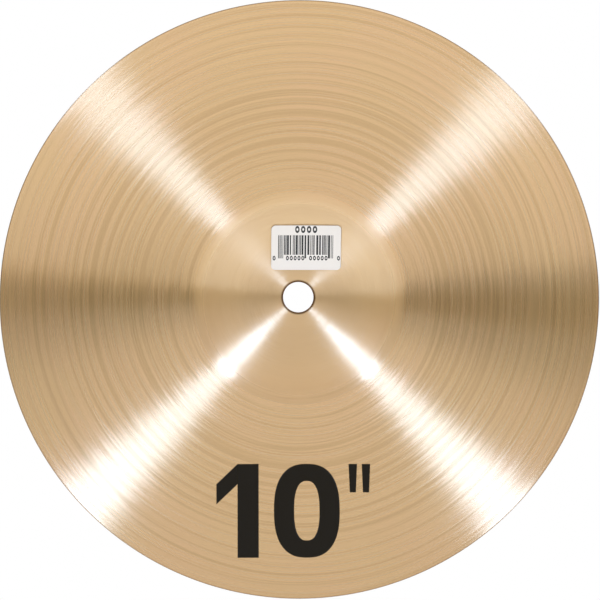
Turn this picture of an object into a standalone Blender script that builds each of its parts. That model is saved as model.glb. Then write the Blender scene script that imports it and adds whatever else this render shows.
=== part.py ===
"""A 10 inch splash cymbal: one pressed and lathed bronze disc, with a paper label stuck inside its cup.

The disc stands bell up on its rim: its axis is Z, its rim rests at z = 0, and the label lies towards -Y.
The sheet's middle is a chain of tangent arcs turned round the axis. They run down from the level felt
seat at the hole over the domed cup, the shoulder fillet and the long shallow bow to the rim. Both faces
lie half the sheet's thickness from it. Along the bow the sheet thins, and the lathe has cut a row of
shallow rings into each face.
"""

import math

import bmesh
import bpy

# Disc, in metres
DIAMETER = 0.254  # over the rim
HOLE_DIAMETER = 0.013  # for the stand's 8 mm rod and its sleeve
SEAT_DIAMETER = 0.021  # level ring round the hole, which the stand's felts press on
CUP_DIAMETER = 0.077  # where the cup's wall is steepest
CUP_RISE = 0.0104  # from there up to the felt seat
SHOULDER_RADIUS = 0.014  # fillet between the cup and the bow
BOW_HEIGHT = 0.0108  # from the foot of the shoulder down to the rim
BOW_START_SLOPE = math.radians(4)  # of the bow where it leaves the shoulder
CUP_THICKNESS = 0.0008
RIM_THICKNESS = 0.0005
HOLE_CHAMFER = 0.0003  # the two deburred edges of the hole
RIM_BEVEL = 0.00015  # the blunted edges of the rim
RIM_LAND = 0.0003  # level ring ground underneath the rim, which the disc stands on

# Lathe rings along the bow
RING_DEPTH = 0.00006
TOP_RINGS = 13
UNDER_RINGS = 20  # about 4 mm apart

# Label, in metres, as seen along the axis
LABEL_WIDTH = 0.0297
LABEL_HEIGHT = 0.0192
LABEL_CORNER = 0.0018
LABEL_THICKNESS = 0.0002
LABEL_GAP = 0.0003  # the line of glue between the paper and the metal
LABEL_FROM_SEAT = 0.0012  # keeps the paper off the ring that the felt presses on
LABEL_ASIDE = 0.0032  # stuck on a little off centre

# Facets
TURN_STEPS = 60
CROWN_STEPS = 8
SHOULDER_STEPS = 5
RING_STEPS = 2  # one point on each ridge and one in each ring
CORNER_STEPS = 6
SHARP_ANGLE = math.radians(30)
WELD = 0.00001


def arc_points(start, slope, end_slope, radius, steps):
    """Points of an arc that runs outwards and down from start while its slope turns to end_slope.

    Each point is (distance from the axis, height, slope), and the slope is the angle below level.
    """
    bend = 1 if end_slope > slope else -1
    points = []
    for i in range(steps + 1):
        angle = slope + (end_slope - slope) * i / steps
        out = start[0] + bend * radius * (math.sin(angle) - math.sin(slope))
        height = start[1] - bend * radius * (math.cos(slope) - math.cos(angle))
        points.append((out, height, angle))
    return points


def middle_line(bow_steps):
    """The middle of the sheet from the hole to the rim, as (distance from the axis, height, slope, share).

    The crown leaves the level felt seat, so its end slope is twice the slope of its chord. The bow
    leaves the shoulder at its own slope, and its chord gives its slope at the rim in the same way.
    Heights are above the rim's land, which lies under the last, nearly straight stretch of the bow.
    The share runs from 0 at the foot of the shoulder to 1 at the rim, and is 0 over the whole cup.
    """
    seat = SEAT_DIAMETER / 2
    cup = CUP_DIAMETER / 2
    wall_slope = 2 * math.atan2(CUP_RISE, cup - seat)
    crown_radius = (cup - seat) / math.sin(wall_slope)
    crown = arc_points((seat, 0), 0, wall_slope, crown_radius, CROWN_STEPS)
    shoulder = arc_points(crown[-1], wall_slope, BOW_START_SLOPE, SHOULDER_RADIUS, SHOULDER_STEPS)

    run = DIAMETER / 2 - shoulder[-1][0]
    rim_slope = 2 * math.atan2(BOW_HEIGHT, run) - BOW_START_SLOPE
    bow_radius = run / (math.sin(rim_slope) - math.sin(BOW_START_SLOPE))
    bow = arc_points(shoulder[-1], BOW_START_SLOPE, rim_slope, bow_radius, bow_steps)

    under_rim = bow[-1][1] - RIM_THICKNESS / 2 / math.cos(rim_slope)
    land = under_rim + (RIM_BEVEL + RIM_LAND) * math.tan(rim_slope)
    cup_line = [(HOLE_DIAMETER / 2, 0, 0)] + crown + shoulder[1:]
    line = [(out, height - land, slope, 0) for out, height, slope in cup_line]
    for i in range(1, bow_steps + 1):
        out, height, slope = bow[i]
        line.append((out, height - land, slope, i / bow_steps))
    return line


def thickness_at(share):
    """The sheet keeps its full thickness over the cup, and thins evenly along the bow to the rim."""
    return CUP_THICKNESS + (RIM_THICKNESS - CUP_THICKNESS) * share


def offset_point(point, distance):
    """The point moved square to the sheet, upwards where the distance is above 0."""
    out, height, slope, _ = point
    return out + distance * math.sin(slope), height + distance * math.cos(slope)


def lathed_face(side, rings):
    """One face of the sheet, from the edge of the felt seat to the last step before the rim.

    The side is 1 for the top face and -1 for the one underneath. The lathe rings are a squared sine
    wave cut into the face, which is 0 at both ends of the bow.
    """
    face = []
    for point in middle_line(RING_STEPS * rings)[1:-1]:
        share = point[3]
        cut = RING_DEPTH * math.sin(math.pi * rings * share) ** 2
        face.append(offset_point(point, side * (thickness_at(share) / 2 - cut)))
    return face


def disc_section():
    """The closed section of the sheet: out along the top face, down round the rim, back underneath."""
    line = middle_line(1)
    hole, seat_middle = line[0][:2]
    seat_top = seat_middle + CUP_THICKNESS / 2
    seat_under = seat_middle - CUP_THICKNESS / 2
    hole_wall = [
        (hole + HOLE_CHAMFER, seat_under),
        (hole, seat_under + HOLE_CHAMFER),
        (hole, seat_top - HOLE_CHAMFER),
        (hole + HOLE_CHAMFER, seat_top),
    ]

    rim, rim_middle, rim_slope = line[-1][:3]
    rim_top = rim_middle + RIM_THICKNESS / 2 / math.cos(rim_slope) + RIM_BEVEL * math.tan(rim_slope)
    rim_wall = [
        (rim - RIM_BEVEL, rim_top),
        (rim, rim_top - RIM_BEVEL),
        (rim, RIM_BEVEL),
        (rim - RIM_BEVEL, 0),
        (rim - RIM_BEVEL - RIM_LAND, 0),
    ]
    top = lathed_face(1, TOP_RINGS)
    under = lathed_face(-1, UNDER_RINGS)
    return top + rim_wall + under[::-1] + hole_wall


def label_section():
    """The closed section of a paper-thin ring under the sheet, one line of glue away from it."""
    back, front = [], []
    for point in middle_line(RING_STEPS * UNDER_RINGS)[:-1]:
        depth = thickness_at(point[3]) / 2 + LABEL_GAP
        back.append(offset_point(point, -depth))
        front.append(offset_point(point, -depth - LABEL_THICKNESS))
    return back + front[::-1]


def new_material(name, colour, metallic, roughness):
    material = bpy.data.materials.new(name)
    material.use_nodes = True
    shader = material.node_tree.nodes["Principled BSDF"]
    shader.inputs["Base Color"].default_value = (*colour, 1)
    shader.inputs["Metallic"].default_value = metallic
    shader.inputs["Roughness"].default_value = roughness
    return material


def new_collection(name):
    collection = bpy.data.collections.new(name)
    bpy.context.scene.collection.children.link(collection)
    return collection


def mesh_of(obj):
    """The object's evaluated mesh; the object itself is removed."""
    bpy.context.view_layer.update()
    graph = bpy.context.evaluated_depsgraph_get()
    mesh = bpy.data.meshes.new_from_object(obj.evaluated_get(graph))
    bpy.data.objects.remove(obj)
    return mesh


def turned(name, section, material, collection):
    """A closed section of (distance from the axis, height), turned once round Z."""
    profile = bpy.data.meshes.new(name + "_profile")
    count = len(section)
    corners = [(out, 0, height) for out, height in section]
    profile.from_pydata(corners, [(i, (i + 1) % count) for i in range(count)], [])
    turning = bpy.data.objects.new(name + "_turning", profile)
    collection.objects.link(turning)
    screw = turning.modifiers.new("turn", "SCREW")
    screw.axis = "Z"
    screw.angle = math.tau
    screw.steps = TURN_STEPS
    screw.render_steps = TURN_STEPS
    screw.use_merge_vertices = True
    screw.merge_threshold = WELD
    mesh = mesh_of(turning)
    mesh.shade_smooth()
    mesh.set_sharp_from_angle(angle=SHARP_ANGLE)
    mesh.materials.append(material)
    obj = bpy.data.objects.new(name, mesh)
    collection.objects.link(obj)
    return obj


def rounded_outline(width, height, corner):
    """The corners of a rectangle with round corners, counter-clockwise from its right side."""
    points = []
    for quarter in range(4):
        side_x = 1 if quarter in (0, 3) else -1
        side_y = 1 if quarter in (0, 1) else -1
        for i in range(CORNER_STEPS + 1):
            angle = math.pi / 2 * (quarter + i / CORNER_STEPS)
            x = side_x * (width / 2 - corner) + corner * math.cos(angle)
            y = side_y * (height / 2 - corner) + corner * math.sin(angle)
            points.append((x, y, 0, 1))
    return points


def upright_cutter(name, outline, place, depth, collection):
    """A prism on a flat outline, extruded both ways from its place, that other pieces are cut with."""
    curve = bpy.data.curves.new(name, "CURVE")
    curve.dimensions = "2D"
    curve.fill_mode = "BOTH"
    curve.extrude = depth / 2
    spline = curve.splines.new("POLY")
    spline.points.add(len(outline) - 1)
    for spline_point, corner in zip(spline.points, outline):
        spline_point.co = corner
    spline.use_cyclic_u = True
    flat = bpy.data.objects.new(name + "_outline", curve)
    collection.objects.link(flat)

    mesh = mesh_of(flat)
    solid = bmesh.new()
    solid.from_mesh(mesh)
    bmesh.ops.remove_doubles(solid, verts=solid.verts, dist=WELD)
    bmesh.ops.recalc_face_normals(solid, faces=solid.faces)
    solid.to_mesh(mesh)
    solid.free()
    cutter = bpy.data.objects.new(name, mesh)
    cutter.location = place
    cutter.hide_render = True
    cutter.display_type = "WIRE"
    collection.objects.link(cutter)
    return cutter


def make_disc(collection):
    bronze = new_material("lathed_bronze", (0.65, 0.43, 0.22), metallic=1, roughness=0.32)
    turned("cymbal_disc", disc_section(), bronze, collection)


def make_label(collection, cutters):
    """The label is what its rounded outline leaves of the paper ring under the sheet."""
    paper = new_material("label_paper", (0.86, 0.85, 0.83), metallic=0, roughness=0.7)
    label = turned("barcode_label", label_section(), paper, collection)
    away = SEAT_DIAMETER / 2 + LABEL_FROM_SEAT + LABEL_HEIGHT / 2
    outline = rounded_outline(LABEL_WIDTH, LABEL_HEIGHT, LABEL_CORNER)
    depth = 4 * (CUP_RISE + BOW_HEIGHT + SHOULDER_RADIUS)
    trim = label.modifiers.new("trim", "BOOLEAN")
    trim.operation = "INTERSECT"
    trim.solver = "EXACT"
    trim.object = upright_cutter("label_cutter", outline, (LABEL_ASIDE, -away, 0), depth, cutters)


for old in list(bpy.data.objects):
    bpy.data.objects.remove(old)

cymbal = new_collection("splash_cymbal")
make_disc(cymbal)
make_label(cymbal, new_collection("cutters"))
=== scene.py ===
"""A 10 inch splash cymbal, seen from underneath: one lathed bronze disc, with a paper label stuck inside its
cup and its size printed on its bow. All sizes are in metres.

The row frame stands it bell up on its rim: the axis is Z and the rim rests at z = 0. The camera looks up
nearly along the axis, so that the picture's right is +X and the picture's top is -Y.
"""

import math

import bpy
import numpy as np
from mathutils import Matrix, Vector


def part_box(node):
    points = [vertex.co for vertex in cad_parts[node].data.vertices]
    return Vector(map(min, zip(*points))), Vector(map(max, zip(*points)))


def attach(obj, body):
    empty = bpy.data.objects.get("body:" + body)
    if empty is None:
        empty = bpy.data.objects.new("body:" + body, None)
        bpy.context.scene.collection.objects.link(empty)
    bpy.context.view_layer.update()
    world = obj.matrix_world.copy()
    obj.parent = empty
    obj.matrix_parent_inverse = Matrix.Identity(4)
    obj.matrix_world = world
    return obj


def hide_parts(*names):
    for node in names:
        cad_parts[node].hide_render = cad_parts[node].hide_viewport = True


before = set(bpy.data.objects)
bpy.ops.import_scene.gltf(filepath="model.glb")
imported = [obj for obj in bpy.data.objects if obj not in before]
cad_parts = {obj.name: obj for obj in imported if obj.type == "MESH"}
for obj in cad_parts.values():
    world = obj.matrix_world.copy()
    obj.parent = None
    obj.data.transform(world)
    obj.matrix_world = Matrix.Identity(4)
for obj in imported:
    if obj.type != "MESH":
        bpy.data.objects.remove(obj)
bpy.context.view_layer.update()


# The disc is one sheet of rolled bronze, pressed to a domed cup and a shallow bow, then turned on a lathe on
# both faces. The tool leaves wide shallow rings on the bow, finer ones between them, and a brushed grain all
# the way round. The hole's edges are deburred and the rim is ground blunt.
RIM_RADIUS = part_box("cymbal_disc")[1].x
HOLE_RADIUS = 0.0065
SEAT_RADIUS = 0.0105  # of the level ring round the hole
CUP_RADIUS = 0.0385  # where the cup's wall is steepest
CUP_RISE = 0.0104  # from there up to the level ring
SHOULDER_RADIUS = 0.014  # of the fillet between the cup and the bow
BOW_HEIGHT = 0.0108  # from the foot of the shoulder down to the rim
BOW_START_SLOPE = math.radians(4)
CUP_THICKNESS = 0.0008
RIM_THICKNESS = 0.0005
HOLE_ROUNDING = 0.0003
RIM_ROUNDING = 0.00015
RIM_LAND = 0.0003  # level ring that the disc stands on
TOP_RINGS = 13
UNDER_RINGS = 20  # about 4 mm apart
RING_DEPTH = 0.00006
CUT_AT_SHOULDER = 0.26  # how much of that depth the tool reaches there
CUT_GAIN = 0.32  # and how much more it reaches at the rim
CUT_WAVES = ((0.14, 17.3, 1.1), (0.10, 41.7, 0.0))  # how far, how often and from where the depth wavers
FINE_RINGS_IN_ONE = 3  # shallow tool marks inside each wide ring
FINE_RING_DEPTH = 0.000006

TURN_STEPS = 240
CROWN_STEPS = 26
SHOULDER_STEPS = 10
TOP_RING_STEPS = 10
UNDER_RING_STEPS = 9
TOP_STEPS = TOP_RING_STEPS * TOP_RINGS
UNDER_STEPS = UNDER_RING_STEPS * UNDER_RINGS
EDGE_STEPS = 4


def arc(out, height, slope, end_slope, radius, steps):
    """An arc that runs outwards and down while its slope below level turns evenly to end_slope.

    Its points lie the radius times the change of the slope's sine further out, and the radius times the
    change of its cosine further down. Returns the distances from the axis, the heights and the slopes.
    """
    angle = np.linspace(slope, end_slope, steps + 1)
    bend = np.sign(end_slope - slope)
    outs = out + bend * radius * (np.sin(angle) - np.sin(slope))
    heights = height - bend * radius * (np.cos(slope) - np.cos(angle))
    return np.stack([outs, heights, angle])


def middle_line(bow_steps):
    """The middle of the sheet from the felt seat to the rim, above the level that the rim stands on.

    The crown leaves the level seat, so its end slope is twice the slope of its chord. The shoulder turns
    back to the bow's first slope, and the bow's chord gives its slope at the rim in the same way. Returns
    the distances from the axis, the heights, the slopes and the share of the bow that lies behind a point.
    """
    wall_slope = 2 * math.atan2(CUP_RISE, CUP_RADIUS - SEAT_RADIUS)
    crown_radius = (CUP_RADIUS - SEAT_RADIUS) / math.sin(wall_slope)
    crown = arc(SEAT_RADIUS, 0, 0, wall_slope, crown_radius, CROWN_STEPS)
    shoulder = arc(crown[0, -1], crown[1, -1], wall_slope, BOW_START_SLOPE, SHOULDER_RADIUS, SHOULDER_STEPS)
    foot = shoulder[:, -1]
    run = RIM_RADIUS - foot[0]
    rim_slope = 2 * math.atan2(BOW_HEIGHT, run) - BOW_START_SLOPE
    bow_radius = run / (math.sin(rim_slope) - math.sin(BOW_START_SLOPE))
    bow = arc(foot[0], foot[1], BOW_START_SLOPE, rim_slope, bow_radius, bow_steps)

    under_rim = bow[1, -1] - RIM_THICKNESS / 2 / math.cos(rim_slope)
    land = under_rim + (RIM_ROUNDING + RIM_LAND) * math.tan(rim_slope)
    outs, heights, slopes = np.concatenate([crown, shoulder[:, 1:], bow[:, 1:]], axis=1)
    in_cup = np.zeros(CROWN_STEPS + SHOULDER_STEPS + 1)
    share = np.concatenate([in_cup, np.linspace(0, 1, bow_steps + 1)[1:]])
    return outs, heights - land, slopes, share


def ring_cut(share, rings):
    """How deep the tool has cut, which is 0 at both ends of the bow.

    The wide rings are a squared sine wave. Their depth grows evenly along the bow and wavers by two slower
    sine waves. A finer and shallower squared sine wave lies on them.
    """
    reached = CUT_AT_SHOULDER + CUT_GAIN * share
    for size, rate, start in CUT_WAVES:
        reached = reached + size * np.sin(rate * share + start)
    wide = np.sin(np.pi * rings * share) ** 2
    fine = np.sin(np.pi * rings * FINE_RINGS_IN_ONE * share) ** 2
    return RING_DEPTH * wide * reached + FINE_RING_DEPTH * fine


def sheet_face(side, rings, bow_steps, gap=0.0):
    """One face of the sheet as distances from the axis and heights, or a line that lies a gap off it.

    The side is 1 for the top face and -1 for the one underneath. Each point of the middle line moves
    square to the sheet by half the thickness there, less what the lathe has cut away.
    """
    outs, heights, slopes, share = middle_line(bow_steps)
    thickness = CUP_THICKNESS + (RIM_THICKNESS - CUP_THICKNESS) * share
    off = side * (thickness / 2 - ring_cut(share, rings) + gap)
    return outs + off * np.sin(slopes), heights + off * np.cos(slopes)


def rounded(corner, start, end):
    """Points from start to end round a corner: a quadratic curve with its middle handle on the corner."""
    t = np.linspace(0, 1, EDGE_STEPS + 1)[:, None]
    return (1 - t) ** 2 * np.array(start) + 2 * t * (1 - t) * np.array(corner) + t**2 * np.array(end)


def disc_section():
    """The closed section of the sheet: out along the top, round the rim, back underneath, up the hole."""
    top = np.stack(sheet_face(1, TOP_RINGS, TOP_STEPS), axis=1)[:-1]
    under = np.stack(sheet_face(-1, UNDER_RINGS, UNDER_STEPS), axis=1)[:-1]
    seat_top, seat_under = top[0, 1], under[0, 1]
    rim, land = RIM_RADIUS, RIM_RADIUS - RIM_ROUNDING - RIM_LAND
    rim_top = RIM_THICKNESS
    hole, round_hole = HOLE_RADIUS, HOLE_RADIUS + HOLE_ROUNDING
    return np.concatenate(
        [
            top,
            rounded((rim, rim_top), (rim - RIM_ROUNDING, rim_top), (rim, rim_top - RIM_ROUNDING)),
            rounded((rim, 0), (rim, RIM_ROUNDING), (rim - RIM_ROUNDING, 0)),
            [(land, 0)],
            under[::-1],
            rounded((hole, seat_under), (round_hole, seat_under), (hole, seat_under + HOLE_ROUNDING)),
            rounded((hole, seat_top), (hole, seat_top - HOLE_ROUNDING), (round_hole, seat_top)),
        ]
    )


def surface(name, points, closed_rows, closed_columns, material):
    """A mesh on a grid of points, rows by columns, whose faces look along the row direction crossed with
    the column direction. A closed direction joins its last points to its first."""
    rows, columns = points.shape[:2]
    row = np.arange(rows if closed_rows else rows - 1)[:, None]
    column = np.arange(columns if closed_columns else columns - 1)[None, :]
    next_row, next_column = (row + 1) % rows, (column + 1) % columns
    corners = [row * columns + column, next_row * columns + column]
    corners += [next_row * columns + next_column, row * columns + next_column]
    faces = np.stack(np.broadcast_arrays(*corners), axis=-1).reshape(-1, 4)
    mesh = bpy.data.meshes.new(name)
    mesh.from_pydata(points.reshape(-1, 3).tolist(), [], faces.tolist())
    mesh.shade_smooth()
    mesh.materials.append(material)
    piece = bpy.data.objects.new(name, mesh)
    bpy.context.collection.objects.link(piece)
    return piece


def turned(section, steps):
    """A section of (distance from the axis, height) at every angle of a whole turn round Z: the x and y of
    a point are its distance times the angle's cosine and sine."""
    angle = np.arange(steps) * math.tau / steps
    outs, heights = section[:, :1], section[:, 1:]
    return np.stack([outs * np.cos(angle), outs * np.sin(angle), np.repeat(heights, steps, axis=1)], axis=-1)


class Socket:
    """One output of a node. Arithmetic on it adds Math nodes to the same tree."""

    def __init__(self, nodes, node, output=0):
        self.nodes = nodes
        self.node = node
        self.output = node.outputs[output] if node.outputs else None

    def other(self, output):
        """Another output of the same node."""
        return Socket(self.nodes, self.node, output)

    def math(self, operation, *values):
        """A Math node whose first value is this socket."""
        return self.nodes.add("Math", {"operation": operation}, dict(enumerate((self, *values))))

    def __add__(self, value):
        return self.math("ADD", value)

    def __sub__(self, value):
        return self.math("SUBTRACT", value)

    def __rsub__(self, value):
        return self.nodes.add("Math", {"operation": "SUBTRACT"}, {0: value, 1: self})

    def __mul__(self, value):
        return self.math("MULTIPLY", value)

    def __truediv__(self, value):
        return self.math("DIVIDE", value)

    def __mod__(self, value):
        return self.math("FLOORED_MODULO", value)

    def __pow__(self, value):
        return self.math("POWER", value)

    def __abs__(self):
        return self.math("ABSOLUTE")

    def __lt__(self, value):
        return self.math("LESS_THAN", value)

    def __gt__(self, value):
        return self.math("GREATER_THAN", value)

    __radd__ = __add__
    __rmul__ = __mul__

    def ramp(self, low, high, low_value=0.0, high_value=1.0):
        """Eases from low_value to high_value while the socket goes from low to high."""
        return self.nodes.add(
            "MapRange",
            {"interpolation_type": "SMOOTHSTEP"},
            {"Value": self, "From Min": low, "From Max": high, "To Min": low_value, "To Max": high_value},
        )


class Nodes:
    """The node tree of a material or of the world, emptied."""

    def __init__(self, owner):
        owner.use_nodes = True
        self.tree = owner.node_tree
        self.tree.nodes.clear()

    def add(self, kind, settings=None, sockets=None):
        """One node: its type, then its settings, then its sockets' values or links."""
        node = self.tree.nodes.new("ShaderNode" + kind)
        for name, value in (settings or {}).items():
            setattr(node, name, value)
        for name, value in (sockets or {}).items():
            if isinstance(value, Socket):
                self.tree.links.new(value.output, node.inputs[name])
            else:
                node.inputs[name].default_value = value
        return Socket(self, node)

    def parts(self, vector):
        """The x, y and z of a vector."""
        split = self.add("SeparateXYZ", {}, {"Vector": vector})
        return split, split.other("Y"), split.other("Z")

    def vector(self, x, y, z):
        """The vector of an x, y and z."""
        return self.add("CombineXYZ", {}, {"X": x, "Y": y, "Z": z})

    def place(self):
        """The point in Object coordinates."""
        return self.add("TexCoord").other("Object")

    def mixed(self, share, first, second):
        """The first colour where the share is 0 and the second where it is 1. A Mix node takes colours in
        its sockets 6 and 7, and gives the mixed one in its output 2."""
        return self.add("Mix", {"data_type": "RGBA"}, {0: share, 6: first, 7: second}).other(2)

    def noise(self, vector, scale, detail):
        """A smooth noise round its middle, with features of about one over the scale."""
        return self.add("TexNoise", {}, {"Vector": vector, "Scale": scale, "Detail": detail})


# The finish. Each groove has a floor, which spreads light across the groove, and burnished flanks that lean
# inwards or outwards, so a lamp to one side draws a straight bright ray over the whole disc. Dull lines
# follow the tool's rings, and painted shade darkens a wide band round the middle of the bow and the rim's
# edge. The cup is paler than the bow and brushed softer, and its paler colour is partly painted light.
BRONZE = (0.645, 0.435, 0.228, 1)
RED_BRONZE = (0.655, 0.432, 0.234, 1)
# dull bronze of the tool's lines, also used for painted shade on the bow
DULL_BRONZE_AND_SHADE = (0.560, 0.370, 0.188, 1)
# paler bronze of the cup: partly its different finish, partly painted light
CUP_BRONZE_AND_PAINTED_LIGHT = (0.735, 0.507, 0.279, 1)
# dark bronze of the burnt ring round the hole, also used for painted shade on the rim's edge
BURNT_BRONZE_AND_RIM_SHADE = (0.130, 0.060, 0.020, 1)
CLOUD_SCALE = 22.0  # of the red clouds
CLOUD_DETAIL = 3
CLOUD_EDGE = (0.35, 0.65)  # the noise between which bronze turns red
CUP_PALE = (0.0365, 0.0445)  # the radii between which the cup's paler colour, partly painted light, ends
BURNT_TO = 0.0012  # from the hole, whose edge the heat of the punch has coloured
BURNT_BLACK = 0.0004  # the first part of that has one colour
RIM_SHADE_TO = 0.0007  # from the rim: painted shade along the rim's edge
RIM_SHADE_SHARE = 0.6
# Grooves: the circle that a turn makes in their noise, their pitch outwards, and the noise's detail
LONG_GROOVES = (0.6, 0.0008, 2)
FINE_GROOVES = (4.0, 0.0003, 0)
SWAYING_GROOVES = (4.0, 0.0008, 1)
NOISE_MIDDLE = 0.5
GROOVE_CONTRAST = 0.86
TOP_RIDGE_PITCH = 0.0063  # of the bright ridges that the tool leaves
UNDER_RIDGE_PITCH = 0.0041
RIDGE_CONTRAST = (0.045, 0.115, 0.030, 0.095)  # two radii, and how much the ridges show at each
BOW_MIDDLE = 0.076  # the radius where the bow's painted shade is deepest
BOW_BRIGHT = (0.008, 0.032)  # the distances from there between which that painted shade lifts
PAINTED_BRIGHTENING = 0.11
LINES_DULL = (-0.12, 0.10)  # the lines and the painted shade are dull under the first and bright over the second
SHOULDER_WIDTH = 0.0081  # over which the cup's finish becomes the bow's
LEVEL_TO = 0.024  # the radius where the finish round the hole has become that of the cup's wall
FLANKS = (  # outward slopes and shares of the metal, each on the bow, on the cup's wall and round the hole
    ((-0.38, -0.10, -0.36), (0.300, 0.400, 0.420)),
    ((0.20, 0.20, 0.20), (0.045, 0.070, 0.070)),
    ((0.60, 1.10, 1.10), (0.250, 0.120, 0.060)),
)
WEAR = (0.060, 0.120, 1.05, 0.88)  # two radii, and what those shares are multiplied by at each
FLANK_SPREAD = 0.4  # of the slopes, from one fine groove to the next
FLANK_SWAY = 0.045  # to and fro along the groove
FLANK_ROUGHNESS = (0.26, 0.19, 0.14)  # on the bow, what the cup adds, and how far it varies
FLOOR_SPREAD = 0.10
CUP_SPREAD = 0.35  # of the floors of the cup's fine grooves
FLOOR_SWAY = 0.012
FLOOR_ROUGHNESS = (0.155, 0.15, 0.06)
ACROSS_THE_TANGENT = 0.25  # of a whole turn


def lathed_bronze():
    """Bare bronze with turned grooves: the metal of their floors, mixed with that of each flank."""
    material = bpy.data.materials.new("lathed_bronze")
    nodes = Nodes(material)
    x, y, _ = nodes.parts(nodes.place())
    normal_x, normal_y, normal_z = nodes.parts(nodes.add("NewGeometry").other("Normal"))
    radius = (x * x + y * y) ** 0.5

    def turned_noise(circle, pitch, detail):
        """Noise round 0 along the grooves: a few changes in a turn, and one every pitch outwards."""
        point = nodes.vector(x / radius * circle, y / radius * circle, radius / pitch)
        return nodes.noise(point, 1.0, detail) - NOISE_MIDDLE

    uneven = turned_noise(*LONG_GROOVES)
    fine = turned_noise(*FINE_GROOVES)
    sway = turned_noise(*SWAYING_GROOVES)
    on_bow = radius.ramp(CUP_RADIUS, CUP_RADIUS + SHOULDER_WIDTH)
    in_cup = 1 - on_bow
    near_hole = radius.ramp(SEAT_RADIUS, LEVEL_TO, 1.0, 0.0)

    def by_place(bow, wall, seat):
        """A value that differs on the bow, on the cup's wall and round the hole."""
        return on_bow * bow + in_cup * (near_hole * (seat - wall) + wall)

    def facet(slope, swaying):
        """The surface's normal, leaning outwards by a slope and along the grooves by a swaying one."""
        across = (x * slope - y * (sway * swaying)) / radius
        along = (y * slope + x * (sway * swaying)) / radius
        leaning = nodes.vector(normal_x + across, normal_y + along, normal_z)
        return nodes.add("VectorMath", {"operation": "NORMALIZE"}, {0: leaning})

    def turned_metal(colour, roughness, normal):
        """Metal that spreads light out across its grooves."""
        on_the_bow, more_in_cup, varying = roughness
        rough = uneven * varying + in_cup * more_in_cup + on_the_bow
        sockets = {"Base Color": colour, "Metallic": 1.0, "Roughness": rough, "Normal": normal}
        sockets |= {"Anisotropic": 1.0, "Anisotropic Rotation": ACROSS_THE_TANGENT}
        return nodes.add("BsdfPrincipled", {}, sockets)

    ridge_pitch = (normal_z > 0.0) * (TOP_RIDGE_PITCH - UNDER_RIDGE_PITCH) + UNDER_RIDGE_PITCH
    ridge = ((RIM_RADIUS - radius) / ridge_pitch * math.tau).math("COSINE")
    # painted shade: the bow is darker round its middle radius and lighter towards the cup and the rim
    painted_light_by_radius = abs(radius - BOW_MIDDLE).ramp(*BOW_BRIGHT, 0.0, PAINTED_BRIGHTENING)
    lines_and_painted_shade = uneven * GROOVE_CONTRAST + ridge * on_bow * radius.ramp(*RIDGE_CONTRAST) + painted_light_by_radius
    clouds = nodes.noise(nodes.place(), CLOUD_SCALE, CLOUD_DETAIL)
    tone = nodes.mixed(clouds.ramp(*CLOUD_EDGE), BRONZE, RED_BRONZE)
    # the tool's lines and the painted shade on the bow turn the tone duller
    tone = nodes.mixed(lines_and_painted_shade.ramp(*LINES_DULL, 1.0, 0.0), tone, DULL_BRONZE_AND_SHADE)
    # partly painted light: the cup's paler tone stands in part for the brighter light on its steep wall, and
    # in part for its different finish
    tone = nodes.mixed(radius.ramp(*CUP_PALE, 1.0, 0.0), tone, CUP_BRONZE_AND_PAINTED_LIGHT)
    burnt = radius.ramp(HOLE_RADIUS + BURNT_BLACK, HOLE_RADIUS + BURNT_TO, 1.0, 0.0)
    # painted shade: the rim's edge is darkened where it lies in shade
    rim_shade = radius.ramp(RIM_RADIUS - RIM_SHADE_TO, RIM_RADIUS, 0.0, RIM_SHADE_SHARE)
    tone = nodes.mixed(burnt + rim_shade, tone, BURNT_BRONZE_AND_RIM_SHADE)

    slope = uneven * FLOOR_SPREAD + fine * (in_cup * CUP_SPREAD)
    metal = turned_metal(tone, FLOOR_ROUGHNESS, facet(slope, FLOOR_SWAY))
    for slopes, shares in FLANKS:
        slope = by_place(*slopes) + fine * FLANK_SPREAD
        share = by_place(*shares) * radius.ramp(*WEAR)
        flank = turned_metal(tone, FLANK_ROUGHNESS, facet(slope, FLANK_SWAY))
        metal = nodes.add("MixShader", {}, {0: share, 1: metal, 2: flank})
    nodes.add("OutputMaterial", {}, {"Surface": metal})
    return material


disc = surface("lathed_disc", turned(disc_section(), TURN_STEPS), True, True, lathed_bronze())
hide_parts("cymbal_disc")
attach(disc, "root")


# The label is of self-adhesive paper with round corners, pressed into the steep side of the cup, so it is
# curved like the metal behind its glue. It is printed in black with a plain bar pattern and with rows of
# zeros over and under that.
LABEL_WIDTH = 0.0297
LABEL_HEIGHT = 0.0192
LABEL_CORNER = 0.0018
LABEL_GAP = 0.0003  # for the glue
LABEL_THICKNESS = 0.0002
LABEL_MIDDLE = (0.0032, -0.0213)
LABEL_COLUMNS = 90
LABEL_ROWS = 60
PAPER = (0.885, 0.86, 0.835, 1)
PAPER_ROUGHNESS = 0.55
FIBRE_SCALE = 900
FIBRE_DETAIL = 3
FIBRE_HEIGHT = 0.00002
FIBRE_STRENGTH = 0.3
PRINT_BLACK = (0.012, 0.012, 0.012, 1)
# Bars, measured from the label's middle
BARS_HALF = 0.0119
BARS_HEAD = 0.0054
BARS_FOOT = -0.0031
GUARD_FOOT = -0.0046  # of the bars at both ends and at the centre, which reach further down
END_WIDTH = 0.0025
CENTRE_WIDTH = 0.0012
BAR_CELLS = 19
BAR_SHARE = (0.42, 0.72)  # the least and the greatest share of its place that a bar fills
PAIR_OVER = 0.78  # a cell whose second random value is over this holds two bars
SECOND_DRAW = 0.5  # what is added to a cell's number for that value
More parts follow.
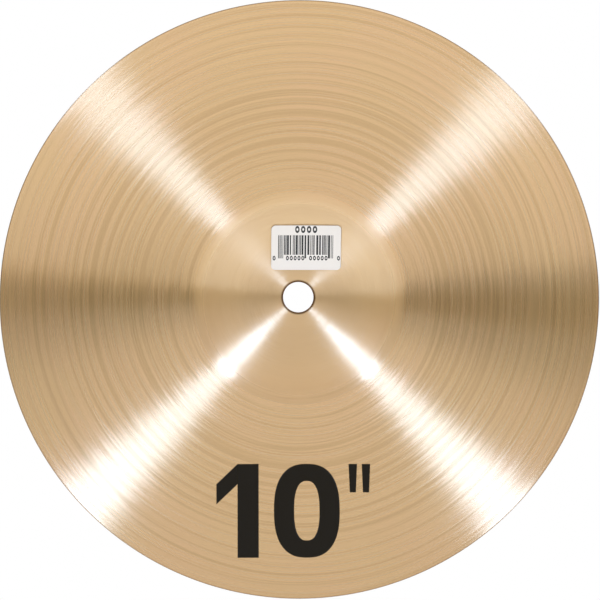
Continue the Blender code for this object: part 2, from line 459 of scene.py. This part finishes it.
# Rows of zeros: one in groups under the bars, and a larger one over them
GROUPS_LEVEL = -0.0045
GROUPS_HEIGHT = 0.0020
GROUPS_PITCH = 0.00165
ZERO_GROUPS = ((-0.0136, 1), (-0.0046, 5), (0.0053, 5), (0.0139, 1))  # each group's middle and its zeros
TITLE_LEVEL = 0.0079
TITLE_HEIGHT = 0.0031
TITLE_PITCH = 0.0025
TITLE_ZEROS = 4
ZERO_WIDTH = 0.76  # of its pitch
ZERO_EYE = 0.40  # the inner ellipse's share of the outer one


def rounded_plate(width, height, corner, columns, rows):
    """A grid over a rectangle with round corners, about its own middle: first across it, then up it.

    The levels lie closer together towards the head and the foot, as the cosines of even angles do. Each
    level's half width is that of the rectangle, less what the corner's arc takes away there, and the
    columns share it evenly.
    """
    up = -height / 2 * np.cos(np.linspace(0, math.pi, rows))
    past = np.clip(np.abs(up) - (height / 2 - corner), 0, corner)
    half = width / 2 - corner + np.sqrt(corner**2 - past**2)
    across = np.linspace(-1, 1, columns)
    return across[:, None] * half[None, :], np.repeat(up[None, :], columns, axis=0)


def laid_under(name, middle, grid, gap, thickness, material, closed=False):
    """A thin sheet that follows the disc's lower face, a gap below it: each point takes its height from the
    line that lies the gap and the thickness off that face, at the point's own distance from the axis.

    The grid is measured across and up from the sheet's middle, as it is read from below.
    """
    across, up = grid
    x, y = middle[0] + across, middle[1] - up
    outs, heights = sheet_face(-1, UNDER_RINGS, UNDER_STEPS, gap + thickness)
    points = np.stack([x, y, np.interp(np.hypot(x, y), outs, heights)], axis=-1)
    sheet = surface(name, points, closed, False, material)
    solid = sheet.modifiers.new("thickness", "SOLIDIFY")
    solid.thickness = thickness
    solid.offset = -1
    return sheet


def printed_zeros(across, up, middle, count, pitch, height):
    """1 on a row of zeros: each is what lies between two ellipses, round the middle of its own place."""
    aside = across - (middle - count * pitch / 2)
    in_row = (aside > 0.0) * (aside < count * pitch)
    from_middle = (aside % pitch - pitch / 2) / (ZERO_WIDTH / 2 * pitch)
    out = (from_middle * from_middle + up * up / (height / 2) ** 2) ** 0.5
    return in_row * (out > ZERO_EYE) * (out < 1.0)


def label_paper():
    """White paper with black ink on it. The bars stand in a row of cells, each of which holds one bar or two
    thin ones, of random width."""
    material = bpy.data.materials.new("label_paper")
    nodes = Nodes(material)
    x, y, _ = nodes.parts(nodes.place())
    across = x - LABEL_MIDDLE[0]
    up = LABEL_MIDDLE[1] - y
    along = (across + BARS_HALF) * (BAR_CELLS / 2 / BARS_HALF)
    cell = along.math("FLOOR")
    draw = nodes.add("TexWhiteNoise", {"noise_dimensions": "1D"}, {"W": cell})
    second_draw = nodes.add("TexWhiteNoise", {"noise_dimensions": "1D"}, {"W": cell + SECOND_DRAW})
    width = draw.ramp(0.0, 1.0, *BAR_SHARE)
    bars = (second_draw > PAIR_OVER) + 1
    guard = (abs(across) > BARS_HALF - END_WIDTH) + (abs(across) < CENTRE_WIDTH / 2)
    foot = guard * (GUARD_FOOT - BARS_FOOT) + BARS_FOOT
    ink = (along * bars % 1 < width) * (abs(across) < BARS_HALF) * (up < BARS_HEAD) * (up > foot)
    for middle, count in ZERO_GROUPS:
        ink = ink + printed_zeros(across, up - GROUPS_LEVEL, middle, count, GROUPS_PITCH, GROUPS_HEIGHT)
    ink = ink + printed_zeros(across, up - TITLE_LEVEL, 0, TITLE_ZEROS, TITLE_PITCH, TITLE_HEIGHT)
    fibres = nodes.noise(nodes.place(), FIBRE_SCALE, FIBRE_DETAIL)
    relief = {"Strength": FIBRE_STRENGTH, "Distance": FIBRE_HEIGHT, "Height": fibres}
    sockets = {"Base Color": nodes.mixed(ink, PAPER, PRINT_BLACK), "Roughness": PAPER_ROUGHNESS}
    sockets["Normal"] = nodes.add("Bump", {}, relief)
    nodes.add("OutputMaterial", {}, {"Surface": nodes.add("BsdfPrincipled", {}, sockets)})
    return material


plate = rounded_plate(LABEL_WIDTH, LABEL_HEIGHT, LABEL_CORNER, LABEL_COLUMNS, LABEL_ROWS)
label = laid_under("paper_label", LABEL_MIDDLE, plate, LABEL_GAP, LABEL_THICKNESS, label_paper())
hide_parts("barcode_label")
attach(label, "root")


# The size mark is a film of black ink, screen printed on the lathed bow: a plain 10 and two inch strokes.
# The film follows the rings under it, so each figure and stroke is a fine grid.
INK_GAP = 0.00002
INK_THICKNESS = 0.00003
INK_BLACK = (0.010, 0.0065, 0.0015, 1)
INK_SHINE = 0.12
INK_ROUGHNESS = 0.32
SPECKLE_ROUGHNESS = 0.2  # what the roughest speckle adds
SPECKLE_SCALE = 2500
SPECKLE_DETAIL = 2
MARK_MIDDLE = (-0.0027, 0.0900)
FIGURE_HEIGHT = 0.0395
STEM_LEFT = -0.0235
STEM_RIGHT = -0.0145
FLAG_LEFT = -0.0325
FLAG_DROP = 0.0085  # from the stem's head to the flag's upper corner
FLAG_WIDTH = 0.0085
ZERO_MIDDLE = 0.0060
ZERO_HALF_WIDTH = 0.0140
ZERO_SIDE = 0.0086  # the stroke's width at the sides
ZERO_CAP = 0.0072  # and at the head and the foot
ZERO_SQUARENESS = 2.5
INCH_STROKES = 2
INCH_LEFT = 0.0238
INCH_PITCH = 0.0056
INCH_WIDTH = 0.0036
INCH_FOOT_WIDTH = 0.0026
INCH_HEIGHT = 0.0120
GRID_STEP = 0.0006


def screen_ink():
    """Black ink that is a little duller in fine speckles."""
    material = bpy.data.materials.new("screen_ink")
    nodes = Nodes(material)
    speckle = nodes.noise(nodes.place(), SPECKLE_SCALE, SPECKLE_DETAIL)
    rough = speckle * SPECKLE_ROUGHNESS + INK_ROUGHNESS
    sockets = {"Base Color": INK_BLACK, "Specular IOR Level": INK_SHINE, "Roughness": rough}
    nodes.add("OutputMaterial", {}, {"Surface": nodes.add("BsdfPrincipled", {}, sockets)})
    return material


def shares_of(length):
    """Even shares of a length from 0 to 1, about one grid step apart."""
    return np.linspace(0, 1, round(length / GRID_STEP) + 1)


def between(left, right, foot, head):
    """A grid between two sides. Each side is its x at the foot and at the head, or one x for both, and the
    foot and the head are the heights of the left and the right corner, or one height for both. The points
    lie at even shares of the way from side to side and from foot to head."""
    across = shares_of(np.max(right) - np.min(left))[:, None]
    up = shares_of(np.max(head) - np.min(foot))[None, :]
    left, right, foot, head = (np.broadcast_to(side, 2) for side in (left, right, foot, head))
    low = foot[0] + (foot[1] - foot[0]) * across
    high = head[0] + (head[1] - head[0]) * across
    left_side = left[0] + (left[1] - left[0]) * up
    right_side = right[0] + (right[1] - right[0]) * up
    return left_side + (right_side - left_side) * across, low + (high - low) * up


def zero_figure():
    """The figure 0: a grid round it, and from its outer to its inner edge. Both are superellipses, whose x
    and y are the cosine and sine of an angle, each with its sign and raised to 2 over the squareness."""
    steps = round(math.tau * ZERO_HALF_WIDTH / GRID_STEP)
    angle = (np.arange(steps) * math.tau / steps)[:, None]
    inwards = shares_of(ZERO_SIDE)[None, :]
    power = 2 / ZERO_SQUARENESS
    across = np.sign(np.cos(angle)) * np.abs(np.cos(angle)) ** power
    up = np.sign(np.sin(angle)) * np.abs(np.sin(angle)) ** power
    width = ZERO_HALF_WIDTH - ZERO_SIDE * inwards
    height = FIGURE_HEIGHT / 2 - ZERO_CAP * inwards
    return ZERO_MIDDLE + across * width, up * height


head = FIGURE_HEIGHT / 2
flag_heads = (head - FLAG_DROP, head)
flag_feet = (head - FLAG_DROP - FLAG_WIDTH, head - FLAG_WIDTH)
mark = {
    "size_one_stem": between(STEM_LEFT, STEM_RIGHT, -head, head),
    "size_one_flag": between(FLAG_LEFT, STEM_LEFT, flag_feet, flag_heads),
    "size_zero": zero_figure(),
}
inset = (INCH_WIDTH - INCH_FOOT_WIDTH) / 2
for i in range(INCH_STROKES):
    left = INCH_LEFT + i * INCH_PITCH
    sides = (left + inset, left), (left + INCH_WIDTH - inset, left + INCH_WIDTH)
    mark[f"inch_stroke_{i + 1}"] = between(*sides, head - INCH_HEIGHT, head)
ink = screen_ink()
for name, grid in mark.items():
    closed = name == "size_zero"
    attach(laid_under(name, MARK_MIDDLE, grid, INK_GAP, INK_THICKNESS, ink, closed), "root")


# The photograph's camera looks up from a long way off and a little to one side, towards the picture's upper
# left, which is why the hole shows a little up and left of the middle of the rim.
CAMERA_BELOW = 2.5
CAMERA_ASIDE = (-0.066, -0.134)
CAMERA_AIM = (0.0001, -0.0001)
CAMERA_REACH = (0.1, 20)
PICTURE_WIDTH = 0.2542  # at the rim's level
SENSOR_WIDTH = 36.0  # in millimetres


def standing(place, right, back):
    """The matrix of a camera or lamp at a place, from the way to its right and the way behind it. Its way up
    is the second crossed with the first."""
    up = back.cross(right)
    return Matrix.Translation(place) @ Matrix((right, up, back)).transposed().to_4x4()


def photograph_camera():
    """A camera whose lens just holds the picture's width at the point that it aims at."""
    place = Vector((*CAMERA_ASIDE, -CAMERA_BELOW))
    ahead = Vector((*CAMERA_AIM, 0)) - place
    data = bpy.data.cameras.new("photograph")
    data.sensor_width = SENSOR_WIDTH
    data.lens = SENSOR_WIDTH * ahead.length / PICTURE_WIDTH
    data.clip_start, data.clip_end = CAMERA_REACH
    back = -ahead.normalized()
    right = Vector((1, 0, 0))
    right = (right - right.dot(back) * back).normalized()
    camera = bpy.data.objects.new("photograph", data)
    camera.matrix_world = standing(place, right, back)
    bpy.context.collection.objects.link(camera)
    bpy.context.scene.camera = camera


photograph_camera()
bpy.context.scene.view_settings.view_transform = "Standard"


# The cymbal stands on a wide pale floor, through which the camera looks up. Right under the cymbal the floor
# is open to all other light, so the metal there mirrors the room below it.
FLOOR_HALF = 3.0
FLOOR_LEVEL = -0.00005  # just under the rim
FLOOR_PALE = (0.90, 0.90, 0.895, 1)
FLOOR_FADE = (0.2, 0.8)  # the radii between which the camera sees it turn white
WHITE = (1, 1, 1, 1)


def studio_floor():
    """A square whose corners lie half its side from the middle both ways."""
    corners = FLOOR_HALF * np.array([[(-1, -1), (-1, 1)], [(1, -1), (1, 1)]])
    points = np.concatenate([corners, np.full((2, 2, 1), FLOOR_LEVEL)], axis=-1)
    material = bpy.data.materials.new("studio_floor")
    nodes = Nodes(material)
    x, y, _ = nodes.parts(nodes.place())
    radius = (x * x + y * y) ** 0.5
    from_camera = nodes.add("LightPath")
    from_below = nodes.add("NewGeometry").other("Backfacing")
    under_cymbal = (radius < RIM_RADIUS) * (1 - from_camera)
    open_floor = (from_camera * from_below).math("MAXIMUM", under_cymbal)
    pale = nodes.add("BsdfDiffuse", {}, {"Color": FLOOR_PALE})
    white = nodes.add("Emission", {}, {"Color": WHITE, "Strength": 1.0})
    faded = nodes.add("MixShader", {}, {0: radius.ramp(*FLOOR_FADE) * from_camera, 1: pale, 2: white})
    floor = nodes.add("MixShader", {}, {0: open_floor, 1: faded, 2: nodes.add("BsdfTransparent")})
    nodes.add("OutputMaterial", {}, {"Surface": floor})
    surface("studio_floor", points, False, False, material)


studio_floor()


# The room round the cymbal is soft light that the metal mirrors. A way into it is told by its azimuth and by
# how far off the downward axis it points, from 0 straight down to 1 level.
MIRRORED = (0.026, 0.054)  # where a level mirror sends the photograph's camera: the room's own axis
# Light, as two distances off the axis and how much there is at each
DARK = (0.17, 0.70, 0.0, 0.87)
FOOT = (0.20, 0.85, 0.95, 1.72)
TOP = (0.16, 0.40, 0.99, 0.61)
TOP_FAR = (0.38, 0.95, 0.0, 0.64)  # is added
TOP_NEAR = (0.13, 0.19, 0.36, 0.0)  # is taken away
BOX_GAIN = (0.38, 0.60, 3.45, 20.0)
BOX_LOSS = (0.60, 0.86, 0.0, 12.9)  # is taken away
# The sines of two azimuths, and what the light is multiplied by at each
FOOT_SIDES = (0.10, 0.55, 0.90, 1.0)
TOP_SIDES = (-0.75, -0.10, 1.0, 0.84)
# Where the dark stretch ends towards the picture's foot and top, and how those edges tilt and bend
FOOT_EDGE = (0.08, 0.155)
FOOT_TILT = 0.05
FOOT_TURN = 0.10  # what the tilt loses further off the axis
FOOT_BEND = 0.04
TOP_EDGE = (-0.42, -0.12)
TOP_TILT = 0.06
TOP_BEND = 0.10
COOL_SKY = (0.97, 1.10, 1.27, 1)
COOL_FROM = (0.50, 0.90)  # the distances off the axis between which it sets in
WARM_WALL = (0.98, 0.95, 0.79, 1)
RIGHT_BOX = (-43.5, 6.2)  # azimuth and half width in degrees
LEFT_BOX = (-134.8, 6.1)
BOX_CORE = 0.40  # of the half width: where the box's light begins to fade
BOX_SIDE = 1.40  # and where it is gone
BOX_START = (0.02, 0.10)  # the distances off the axis between which a box sets in
BOX_BLUE = (0.290, 0.485, 1.0, 1)  # the bronze's yellow turns it white
UPPER_SHADE = 0.62  # of the room above the floor
DULL_LIGHT = (-0.2, 0.2, 1.0, 0.75)  # two heights of a way, and what dull surfaces get from each


def soft_box(x, y, off_axis, azimuth, half_width):
    """1 in the middle of a soft box that stands at an azimuth, and 0 past its soft sides, in degrees."""
    turn = math.radians(azimuth)
    towards = x * math.cos(turn) + y * math.sin(turn)
    across = abs(y * math.cos(turn) - x * math.sin(turn)) / off_axis
    core, side = (math.sin(math.radians(half_width * share)) for share in (BOX_CORE, BOX_SIDE))
    return across.ramp(core, side, 1.0, 0.0) * towards.ramp(*BOX_START)


def studio_world():
    """A room of soft light. Towards the picture's foot it is brighter the further off the axis it is.
    Towards the picture's top it dims and brightens again, and two long soft boxes stand there. To both sides
    a dark stretch lies between these halves. Above the floor the room is plain. The camera sees it white."""
    world = bpy.data.worlds.new("studio")
    bpy.context.scene.world = world
    nodes = Nodes(world)
    x, y, z = nodes.parts(nodes.add("TexCoord"))
    x, y = x - MIRRORED[0], y - MIRRORED[1]
    off_axis = (x * x + y * y) ** 0.5
    sine = y / off_axis
    dark = off_axis.ramp(*DARK)
    foot = off_axis.ramp(*FOOT) * sine.ramp(*FOOT_SIDES)
    top = off_axis.ramp(*TOP) + off_axis.ramp(*TOP_FAR)
    top = (top - off_axis.ramp(*TOP_NEAR)) * sine.ramp(*TOP_SIDES)
    foot_tilt = FOOT_TILT - off_axis * FOOT_TURN
    into_foot = ((y + x * foot_tilt) / off_axis + off_axis * FOOT_BEND).ramp(*FOOT_EDGE)
    into_top = ((y - x * TOP_TILT) / off_axis - off_axis * TOP_BEND).ramp(*TOP_EDGE, 1.0, 0.0)
    shade = dark + into_foot * (foot - dark) + into_top * (top - dark)
    boxes = soft_box(x, y, off_axis, *RIGHT_BOX) + soft_box(x, y, off_axis, *LEFT_BOX)
    box_shade = (off_axis.ramp(*BOX_GAIN) - off_axis.ramp(*BOX_LOSS)) * boxes
    shade = shade + box_shade
    tint = nodes.mixed(into_foot * off_axis.ramp(*COOL_FROM), WHITE, COOL_SKY)
    tint = nodes.mixed((1 - into_foot) * (1 - into_top), tint, WARM_WALL)
    tint = nodes.mixed(box_shade / shade, tint, BOX_BLUE)
    above = z > 0.0
    shade = shade + above * (UPPER_SHADE - shade)
    tint = nodes.mixed(above, tint, WHITE)
    camera = nodes.add("LightPath")
    glossy = camera.other("Is Glossy Ray")
    strength = camera + (1 - camera) * (glossy * shade + (1 - glossy) * z.ramp(*DULL_LIGHT))
    colour = nodes.mixed(glossy, WHITE, tint)
    background = nodes.add("Background", {}, {"Color": colour, "Strength": strength})
    nodes.add("OutputWorld", {}, {"Surface": background})


studio_world()


# Two square soft boxes hang over the cymbal, on nearly opposite sides of it, and light its top face.
UPPER_BOX_AZIMUTHS = {"upper_front_box": -70, "upper_back_box": 120}
UPPER_BOX_SIZE = 0.9
UPPER_BOX_DISTANCE = 2.4
UPPER_BOX_STRENGTH = 2.4
WARM_WHITE = (1.0, 0.97, 0.93)


def upper_box(name, azimuth):
    """A lamp that looks at the cymbal's middle, from halfway up at an azimuth round Z. Its power is its
    strength times pi times its area."""
    turn = math.radians(azimuth)
    out = Vector((math.cos(turn), math.sin(turn), 1)).normalized()
    data = bpy.data.lights.new(name, "AREA")
    data.shape = "SQUARE"
    data.size = UPPER_BOX_SIZE
    data.energy = UPPER_BOX_STRENGTH * math.pi * UPPER_BOX_SIZE**2
    data.color = WARM_WHITE
    lamp = bpy.data.objects.new(name, data)
    lamp.matrix_world = standing(out * UPPER_BOX_DISTANCE, Vector((-math.sin(turn), math.cos(turn), 0)), out)
    lamp.visible_camera = False
    bpy.context.collection.objects.link(lamp)


for name, azimuth in UPPER_BOX_AZIMUTHS.items():
    upper_box(name, azimuth)
